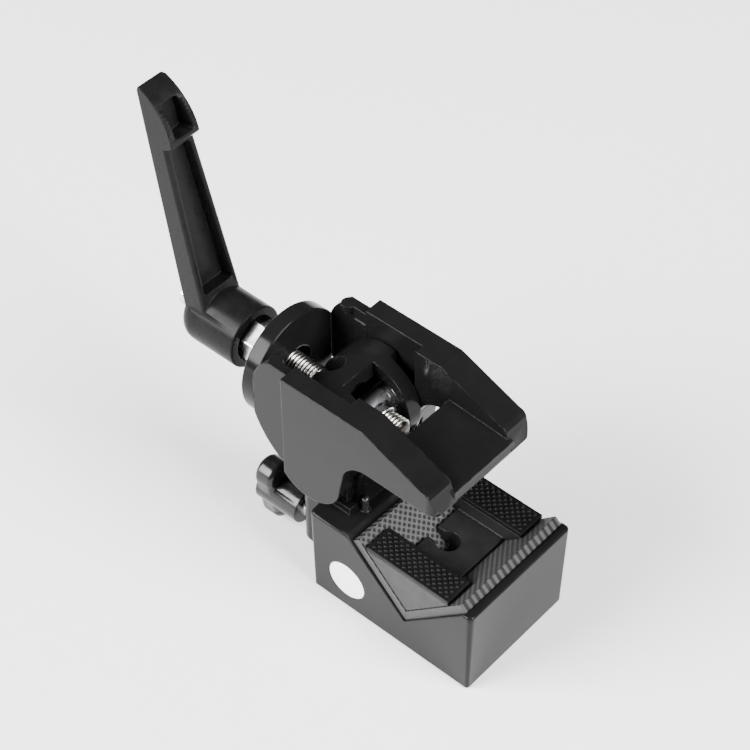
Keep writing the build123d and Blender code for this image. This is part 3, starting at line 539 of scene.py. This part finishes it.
ON_SPINDLE = (0.0, 0.0, SPINDLE_AXIS_Z)
ON_KNOB_SCREW = (0.0, KNOB_AXIS.y, KNOB_AXIS.z)
ON_NUT = (nut_axis_x(), 0.0, SPINDLE_AXIS_Z)
DIMPLES = (2.5 * MM, 0.62 * MM)
FINISHES: dict[str, Finish] = {
    f.name: f
    for f in (
        # the jaws and the lever carry lighter edges that are partly wear and partly a painted highlight
        Finish("jaw_black", "jaw_paint", (0.0045, 0.0043, 0.0046), (0.007, 0.0068, 0.007),
               0.17, 0.04, fine=1500, slow=130, bump=0.02 * MM, wear=0.2, wear_colour=(0.12, 0.12, 0.12),
               specular=0.09),
        Finish("lever_black", "lever_paint", (0.004, 0.004, 0.0043), (0.008, 0.008, 0.0083),
               0.3, 0.06, fine=2600, slow=240, bump=0.03 * MM, wear=0.12, wear_colour=(0.12, 0.12, 0.12),
               specular=0.06),
        # one rubber in two tones: lighter on the rear groove pad as painted light, darker on the front groove
        # pad and the upper jaw's pad as painted shade
        Finish("pad_grey", "pad_rubber", (0.036, 0.036, 0.0375), (0.055, 0.055, 0.0565),
               0.62, 0.08, bump=0.25 * MM, dots=DIMPLES, dot_colour=(0.004, 0.004, 0.004),
               dot_depth=-1.0, turn=(0.0, GROOVE_TURN, 0.0), specular=0.2),
        Finish("pad_dark", "pad_rubber", (0.03, 0.03, 0.031), (0.045, 0.045, 0.046),
               0.6, 0.08, bump=0.25 * MM, dots=DIMPLES, dot_colour=(0.003, 0.003, 0.003),
               dot_depth=-1.0, turn=(0.0, -GROOVE_TURN, 0.0), specular=0.2),
        Finish("strip_black", "strip_rubber", (0.0025, 0.0025, 0.0026), (0.005, 0.005, 0.0052), 0.42, 0.08,
               bump=0.03 * MM, specular=0.12),
        Finish("badge_white", "badge_white", (0.86, 0.84, 0.855), (0.9, 0.885, 0.895),
               0.3, 0.04, bump=0.01 * MM),
        # the thread is painted dark towards its roots: painted shade in the grooves
        Finish("thread_steel", "steel", (0.56, 0.54, 0.50), (0.68, 0.66, 0.63), 0.26, 0.06, metallic=1.0,
               grain=Grain.TURNED, bump=0.004 * MM, centre=ON_SPINDLE, fade=Fade.INTO_GROOVES,
               fade_range=(3.3 * MM, 3.85 * MM), fade_colour=(0.03, 0.026, 0.022)),
        Finish("bright_steel", "steel", (0.66, 0.65, 0.63), (0.78, 0.77, 0.75), 0.22, 0.08, metallic=1.0,
               grain=Grain.TURNED, bump=0.006 * MM, centre=ON_SPINDLE),
        Finish("knob_steel", "steel", (0.6, 0.59, 0.57), (0.7, 0.69, 0.67), 0.28, 0.08, metallic=1.0,
               grain=Grain.TURNED, bump=0.006 * MM, centre=ON_KNOB_SCREW),
        Finish("pin_black", "black_steel", (0.012, 0.012, 0.013), (0.02, 0.02, 0.021), 0.22, 0.06, coat=0.3,
               bump=0.01 * MM),
        # the nut is painted dark behind its front face: painted shade where it sits inside the neck
        Finish("nut_chrome", "nut_chrome", (0.72, 0.72, 0.74), (0.8, 0.8, 0.82), 0.14, 0.04, metallic=1.0,
               bump=0.004 * MM, centre=ON_NUT, fade=Fade.BEHIND_FACE,
               fade_range=(1.0 * MM, 4.0 * MM), fade_colour=(0.03, 0.03, 0.031)),
        Finish("bush_bronze", "bronze", (0.55, 0.36, 0.16), (0.62, 0.43, 0.2), 0.35, 0.08, metallic=1.0,
               bump=0.01 * MM),
        Finish("shim_nylon", "nylon", (0.8, 0.79, 0.74), (0.84, 0.83, 0.79), 0.5, 0.05, bump=0.01 * MM),
        Finish("knob_black", "knob_plastic", (0.005, 0.005, 0.0052), (0.009, 0.009, 0.0092), 0.22, 0.05,
               fine=2400, slow=300, bump=0.02 * MM, specular=0.3),
        Finish("wedge_black", "wedge_plastic", (0.007, 0.007, 0.0073), (0.012, 0.012, 0.0123), 0.36, 0.06,
               fine=2400, slow=260, bump=0.03 * MM, specular=0.25),
    )
}
MATERIALS: dict[str, bpy.types.Material] = {name: finish.build() for name, finish in FINISHES.items()}


# ---------------------------------------------------------------- making pieces


def body_of_node(node: str) -> str:
    """The CAD body that a node belongs to."""
    return str(frame["nodes"][node]["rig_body"])


def place_piece(piece: bpy.types.Object, finish: str, body: str, stands_for: str = "") -> bpy.types.Object:
    """Dresses a finished piece and fixes it to its body.

    Args:
        piece: the piece, in place in its mesh.
        finish: its finish's name.
        body: the CAD body it moves with.
        stands_for: the CAD node that it replaces, if any.

    Returns:
        The piece.
    """
    piece.data.materials.clear()
    piece.data.materials.append(MATERIALS[finish])
    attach(piece, body)
    if stands_for:
        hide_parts(stands_for)
    LOG.info("%s rides on %s, %d faces", piece.name, body, len(piece.data.polygons))
    return piece


def applied_mesh(piece: bpy.types.Object) -> bpy.types.Mesh:
    """A plain mesh of what a piece's modifiers make of it."""
    bpy.context.view_layer.update()
    return bpy.data.meshes.new_from_object(piece.evaluated_get(bpy.context.evaluated_depsgraph_get()))


def finish_mesh(work: bmesh.types.BMesh, mesh: bpy.types.Mesh, crease: float) -> None:
    """Writes edited geometry back, smooth but for its creases.

    Args:
        work: the edited geometry, which is freed.
        mesh: the mesh to write to.
        crease: the angle in degrees past which an edge stays sharp.
    """
    for face in work.faces:
        face.smooth = True
    work.to_mesh(mesh)
    work.free()
    mesh.set_sharp_from_angle(angle=math.radians(crease))


def even_shading(piece: bpy.types.Object) -> None:
    """Lets a piece's broad faces, not its slivers, set how it is shaded.

    Args:
        piece: the piece, whose mesh is replaced.
    """
    modifier = piece.modifiers.new("even", "WEIGHTED_NORMAL")
    modifier.mode = "FACE_AREA_WITH_ANGLE"
    modifier.keep_sharp = True
    modifier.weight = FACE_WEIGHT
    made = applied_mesh(piece)
    piece.modifiers.remove(modifier)
    piece.data = made


def smooth_copy(node: str, finish: str, crease: float = 30.0) -> bpy.types.Object:
    """Stands a welded, smoothly shaded copy in for a CAD node.

    Args:
        node: the CAD node.
        finish: the finish's name.
        crease: the angle in degrees past which an edge stays sharp.

    Returns:
        The new piece.
    """
    mesh = frame["nodes"][node].data.copy()
    mesh.name = node + "_shown"
    work = bmesh.new()
    work.from_mesh(mesh)
    bmesh.ops.remove_doubles(work, verts=work.verts, dist=WELD)
    bmesh.ops.dissolve_limit(work, angle_limit=FLAT_BEND, verts=work.verts, edges=work.edges)
    finish_mesh(work, mesh, crease)
    piece = bpy.data.objects.new(node + "_shown", mesh)
    bpy.context.scene.collection.objects.link(piece)
    even_shading(piece)
    return place_piece(piece, finish, body_of_node(node), node)


class Recipe:
    """A Geometry Nodes tree with named inputs, used once to make a plain mesh."""

    def __init__(self, name: str, inputs: dict[str, float]) -> None:
        """Starts a tree.

        Args:
            name: the tree's name.
            inputs: input name to its value, in metres or as a count.
        """
        self.name = name
        self.values = inputs
        self.tree = bpy.data.node_groups.new(name, "GeometryNodeTree")
        self.sockets = {}
        self.tree.interface.new_socket("Geometry", in_out="INPUT", socket_type="NodeSocketGeometry")
        for label in inputs:
            socket = self.tree.interface.new_socket(label, in_out="INPUT", socket_type="NodeSocketFloat")
            self.sockets[label] = socket.identifier
        self.tree.interface.new_socket("Geometry", in_out="OUTPUT", socket_type="NodeSocketGeometry")
        self.sheet = NodeSheet(self.tree)
        self.given = self.sheet.add("NodeGroupInput")

    def end(self, geometry: bpy.types.NodeSocket, material: bpy.types.Material) -> None:
        """Ends the tree in Realize Instances and Set Material.

        Args:
            geometry: what the tree makes.
            material: its material.
        """
        real = self.sheet.add("GeometryNodeRealizeInstances")
        self.sheet.join(geometry, real.inputs[0])
        dress = self.sheet.add("GeometryNodeSetMaterial")
        dress.inputs["Material"].default_value = material
        self.sheet.join(real.outputs[0], dress.inputs["Geometry"])
        self.sheet.join(dress.outputs[0], self.sheet.add("NodeGroupOutput").inputs[0])

    def bake(self, crease: float) -> bpy.types.Object:
        """Runs the tree and keeps its result as a plain mesh.

        Args:
            crease: the angle in degrees past which an edge stays sharp.

        Returns:
            The new object, with no modifier.
        """
        piece = bpy.data.objects.new(self.name, bpy.data.meshes.new(self.name + "_seed"))
        bpy.context.scene.collection.objects.link(piece)
        modifier = piece.modifiers.new("recipe", "NODES")
        modifier.node_group = self.tree
        for label, value in self.values.items():
            modifier[self.sockets[label]] = float(value)
        made = applied_mesh(piece)
        piece.modifiers.remove(modifier)
        piece.data = made
        work = bmesh.new()
        work.from_mesh(made)
        bmesh.ops.remove_doubles(work, verts=work.verts, dist=RECIPE_WELD)
        bmesh.ops.dissolve_degenerate(work, edges=work.edges, dist=RECIPE_SLIVER)
        bmesh.ops.recalc_face_normals(work, faces=work.faces)
        finish_mesh(work, made, crease)
        return piece


# ---------------------------------------------------------------- sub-assemblies


@dataclass
class PlainPieces:
    """CAD nodes that keep their shape and get smooth shading and a finish."""

    finishes: dict[str, str]
    crease: float = 30.0

    def build(self) -> None:
        """Makes a piece for each node."""
        for node, finish in self.finishes.items():
            smooth_copy(node, finish, self.crease)


@dataclass
class ThreadedSpindle:
    """The long right-hand threaded rod."""

    pitch: float = 1.25 * MM
    depth: float = 0.7 * MM
    chamfer: float = 1.2 * MM
    flank_share: float = 1.35
    crest_share: float = 0.15
    steps_per_turn: int = 12
    around: int = 40
    crease: float = 55.0

    def build(self) -> bpy.types.Object:
        """Makes the rod with a Geometry Nodes grid rolled about its axis.

        Returns:
            The rod.
        """
        low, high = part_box("spindle")
        length = high.x - low.x
        recipe = Recipe("threaded_spindle", {
            "Start": low.x, "Length": length, "Pitch": self.pitch, "Crest Radius": (high.z - low.z) / 2,
            "Depth": self.depth, "Chamfer": self.chamfer, "Axis Height": SPINDLE_AXIS_Z,
        })
        s, given = recipe.sheet, recipe.given.outputs
        columns = int(length / self.pitch * self.steps_per_turn) + 3
        grid = s.add("GeometryNodeMeshGrid")
        for name, value in (("Size X", 1.0), ("Size Y", 1.0), ("Vertices X", columns),
                            ("Vertices Y", self.around + 1)):
            grid.inputs[name].default_value = value
        where = s.split(s.add("GeometryNodeInputPosition").outputs[0])
        along = s.maths("ADD", where["X"], 0.5)
        turn = s.maths("ADD", where["Y"], 0.5)
        step = 1.0 / (columns - 1)
        inner = s.maths("DIVIDE", s.maths("SUBTRACT", along, step), 1.0 - 2 * step)
        x_from_start = s.maths("MULTIPLY", s.clamp(inner), given["Length"])
        phase = s.maths("FRACT", s.maths("ADD", s.maths("DIVIDE", x_from_start, given["Pitch"]), turn))
        tooth = s.maths("ABSOLUTE", s.maths("SUBTRACT", s.maths("MULTIPLY", phase, 2.0), 1.0))
        tooth = s.clamp(s.maths("SUBTRACT", s.maths("MULTIPLY", tooth, self.flank_share), self.crest_share))
        radius = s.maths("SUBTRACT", given["Crest Radius"], s.maths("MULTIPLY", tooth, given["Depth"]))
        from_end = s.maths("MINIMUM", x_from_start, s.maths("SUBTRACT", given["Length"], x_from_start))
        chamfered = s.maths("ADD", s.maths("SUBTRACT", given["Crest Radius"], given["Chamfer"]), from_end)
        radius = s.maths("MINIMUM", radius, chamfered)
        on_cap = s.maths("MULTIPLY", s.maths("GREATER_THAN", along, 0.5 * step),
                         s.maths("LESS_THAN", along, 1.0 - 0.5 * step))
        radius = s.maths("MULTIPLY", radius, on_cap)
        angle = s.maths("MULTIPLY", turn, 2 * math.pi)
        height = s.maths("ADD", given["Axis Height"], s.maths("MULTIPLY", radius, s.maths("SINE", angle)))
        point = s.vector(s.maths("ADD", given["Start"], x_from_start),
                         s.maths("MULTIPLY", radius, s.maths("COSINE", angle)), height)
        move = s.add("GeometryNodeSetPosition")
        s.join(grid.outputs["Mesh"], move.inputs["Geometry"])
        s.join(point, move.inputs["Position"])
        recipe.end(move.outputs[0], MATERIALS["thread_steel"])
        return place_piece(recipe.bake(self.crease), "thread_steel", "spindle", "spindle")


@dataclass
class GripBumps:
    """Rows of small round bumps standing on a grip strip."""

    node: str
    pitch: float = 2.4 * MM
    dome_radius: float = 0.72 * MM
    dome_height: float = 0.5 * MM
    margin: float = 1.5 * MM
    segments: int = 8
    rings: int = 5
    crease: float = 80.0

    def build(self) -> bpy.types.Object:
        """Makes the bumps as staggered rows of domes.

        Returns:
            The bumps of this strip, as one piece.
        """
        low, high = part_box(self.node)
        middle = middle_of(self.node)
        recipe = Recipe(self.node + "_bumps", {
            "Dome Radius": self.dome_radius, "Dome Height": self.dome_height, "Seat": high.z,
        })
        s, given = recipe.sheet, recipe.given.outputs
        both = s.add("GeometryNodeJoinGeometry")
        length, width = high.x - low.x - 2 * self.margin, high.y - low.y - 2 * self.margin
        for shift in (0.0, 0.5):
            nx = int(length / self.pitch - shift) + 1
            ny = int(width / self.pitch - shift) + 1
            grid = s.add("GeometryNodeMeshGrid")
            for name, value in (("Size X", (nx - 1) * self.pitch), ("Size Y", (ny - 1) * self.pitch),
                                ("Vertices X", nx), ("Vertices Y", ny)):
                grid.inputs[name].default_value = value
            shifted = s.add("GeometryNodeTransform")
            s.join(grid.outputs["Mesh"], shifted.inputs["Geometry"])
            s.join(s.vector(middle.x, middle.y, given["Seat"]), shifted.inputs["Translation"])
            s.join(shifted.outputs[0], both.inputs[0])
        dome = s.add("GeometryNodeMeshUVSphere")
        dome.inputs["Segments"].default_value = self.segments
        dome.inputs["Rings"].default_value = self.rings
        s.join(given["Dome Radius"], dome.inputs["Radius"])
        flatten = s.vector(1.0, 1.0, s.maths("DIVIDE", given["Dome Height"], given["Dome Radius"]))
        on_points = s.add("GeometryNodeInstanceOnPoints")
        s.join(both.outputs[0], on_points.inputs["Points"])
        s.join(dome.outputs["Mesh"], on_points.inputs["Instance"])
        s.join(flatten, on_points.inputs["Scale"])
        recipe.end(on_points.outputs[0], MATERIALS["strip_black"])
        return place_piece(recipe.bake(self.crease), "strip_black", "wedge")


class Spring(Enum):
    """A coil spring's node, the joint that presses it, the axis it lies along and how far it is pressed."""

    LEVER = ("lever_spring", "lever_lift", 0, 3.5 * MM)
    LOCK = ("lock_spring", "plunger_pull", 2, 2.5 * MM)


@dataclass
class CoilSpring:
    """A coil spring, made at its CAD node's length."""

    spring: Spring
    wire_radius: float
    turns: float
    steps_per_turn: int = 24
    wire_sides: int = 8
    crease: float = 60.0

    def build(self) -> bpy.types.Object:
        """Makes the coil from a Geometry Nodes spiral.

        Returns:
            The spring.
        """
        node, joint, axis, travel = self.spring.value
        low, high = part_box(node)
        middle = middle_of(node)
        length = high[axis] - low[axis]
        recipe = Recipe(node + "_coil", {
            "Coil Radius": (high.y - low.y) / 2 - self.wire_radius, "Wire Radius": self.wire_radius,
            "Length": length - 2 * self.wire_radius,
        })
        s, given = recipe.sheet, recipe.given.outputs
        spiral = s.add("GeometryNodeCurveSpiral")
        spiral.inputs["Resolution"].default_value = self.steps_per_turn
        spiral.inputs["Rotations"].default_value = self.turns
        for name in ("Start Radius", "End Radius"):
            s.join(given["Coil Radius"], spiral.inputs[name])
        s.join(given["Length"], spiral.inputs["Height"])
        ring = s.add("GeometryNodeCurvePrimitiveCircle")
        ring.inputs["Resolution"].default_value = self.wire_sides
        s.join(given["Wire Radius"], ring.inputs["Radius"])
        wire = s.add("GeometryNodeCurveToMesh")
        wire.inputs["Fill Caps"].default_value = True
        s.join(spiral.outputs[0], wire.inputs["Curve"])
        s.join(ring.outputs["Curve"], wire.inputs["Profile Curve"])
        put = s.add("GeometryNodeTransform")
        s.join(wire.outputs[0], put.inputs["Geometry"])
        start = Vector(middle)
        start[axis] = low[axis] + self.wire_radius
        put.inputs["Translation"].default_value = start
        if axis == 0:
            put.inputs["Rotation"].default_value = (0.0, math.radians(90), 0.0)
        recipe.end(put.outputs[0], MATERIALS["bright_steel"])
        piece = place_piece(recipe.bake(self.crease), "bright_steel", body_of_node(node), node)
        end = Vector(middle)
        end[axis] = high[axis]
        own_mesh(piece)
        return piece


# ---------------------------------------------------------------- studio


@dataclass(frozen=True)
class Softbox:
    """A square soft light that faces the clamp: its place and side in metres, and its power in watts."""

    name: str
    at: tuple[float, float, float]
    side: float
    power: float
    aim: tuple[float, float, float] = (0.0, 0.0, 0.05)

    def build(self) -> None:
        """Stands the light in its place."""
        lamp = bpy.data.lights.new(self.name, "AREA")
        lamp.shape = "SQUARE"
        lamp.size = self.side
        lamp.energy = self.power
        stand = bpy.data.objects.new(self.name, lamp)
        stand.location = self.at
        stand.rotation_euler = (Vector(self.aim) - Vector(self.at)).to_track_quat("-Z", "Y").to_euler()
        bpy.context.scene.collection.objects.link(stand)


SOFTBOXES = (
    Softbox("left_softbox", (-1.0, -1.5, 1.1), 1.4, 210.0),
    Softbox("right_softbox", (1.7, 0.2, 1.3), 1.3, 180.0),
)


@dataclass
class Studio:
    """The pale floor, the soft lights and the camera."""

    floor_reach: float = 6.0
    camera_at: tuple[float, float, float] = (0.27245, -0.3411, 0.5543)
    right: tuple[float, float, float] = (0.7523, 0.6588, 0.0)
    up: tuple[float, float, float] = (-0.4755, 0.5430, 0.6921)
    back: tuple[float, float, float] = (0.456, -0.5207, 0.7218)
    lens: float = 105.9
    sensor: float = 36.0
    nearest: float = 0.01
    world: float = 0.12

    def build(self) -> None:
        """Sets up the floor, lights, world and camera."""
        self._floor()
        for softbox in SOFTBOXES:
            softbox.build()
        self._world()
        self._camera()

    def _floor(self) -> None:
        """A matt pale floor with a faint unevenness."""
        mesh = bpy.data.meshes.new("floor")
        r = self.floor_reach
        mesh.from_pydata([(-r, -r, 0), (r, -r, 0), (r, r, 0), (-r, r, 0)], [], [(0, 1, 2, 3)])
        floor = bpy.data.objects.new("floor", mesh)
        bpy.context.scene.collection.objects.link(floor)
        pale = Finish("floor_pale", "", (0.86, 0.86, 0.86), (0.88, 0.88, 0.88), 0.75, 0.03, bump=0.0)
        mesh.materials.append(pale.build())

    def _world(self) -> None:
        """An even grey surround."""
        world = bpy.data.worlds.new("surround")
        world.use_nodes = True
        background = world.node_tree.nodes["Background"]
        background.inputs["Color"].default_value = (1.0, 1.0, 1.0, 1.0)
        background.inputs["Strength"].default_value = self.world
        bpy.context.scene.world = world

    def _camera(self) -> None:
        """The camera, at its fixed place and angle."""
        data = bpy.data.cameras.new("camera")
        data.lens = self.lens
        data.sensor_width = self.sensor
        data.clip_start = self.nearest
        camera = bpy.data.objects.new("camera", data)
        turn = Matrix((self.right, self.up, self.back)).transposed().to_4x4()
        camera.matrix_world = Matrix.Translation(self.camera_at) @ turn
        bpy.context.scene.collection.objects.link(camera)
        bpy.context.scene.camera = camera


def main() -> None:
    """Builds each sub-assembly in order."""
    logging.basicConfig(level=logging.INFO, format="%(name)s: %(message)s")
    PlainPieces({
        "lower_jaw_casting": "jaw_black", "upper_jaw_casting": "jaw_black", "hinge_pin": "jaw_black",
        # the pads share one rubber, painted lighter or darker as painted light and shade
        "rear_groove_pad": "pad_grey", "front_groove_pad": "pad_dark", "upper_jaw_pad": "pad_dark",
        "side_badge": "badge_white", "hinge_bushes": "bush_bronze", "hinge_shims": "shim_nylon",
        "stud_lock_pin": "pin_black", "lock_bush": "pin_black",
        "trunnion_nut": "nut_chrome", "thrust_washer": "bright_steel", "hex_collar": "bright_steel",
        "lever_insert": "bright_steel", "lever_screw": "bright_steel", "screw_washer": "bright_steel",
        "lever_handle": "lever_black", "knob_head": "knob_black",
        "knob_screw": "knob_steel", "pressure_shoe": "bush_bronze",
        "left_grip_strip": "strip_black", "right_grip_strip": "strip_black",
    }).build()
    PlainPieces({"wedge_body": "wedge_black"}, crease=14.0).build()
    ThreadedSpindle().build()
    CoilSpring(Spring.LEVER, wire_radius=0.45 * MM, turns=5.5).build()
    CoilSpring(Spring.LOCK, wire_radius=0.2 * MM, turns=8.0).build()
    for strip in ("left_grip_strip", "right_grip_strip"):
        GripBumps(strip).build()
    Studio().build()


if __name__ == "__main__":
    main()
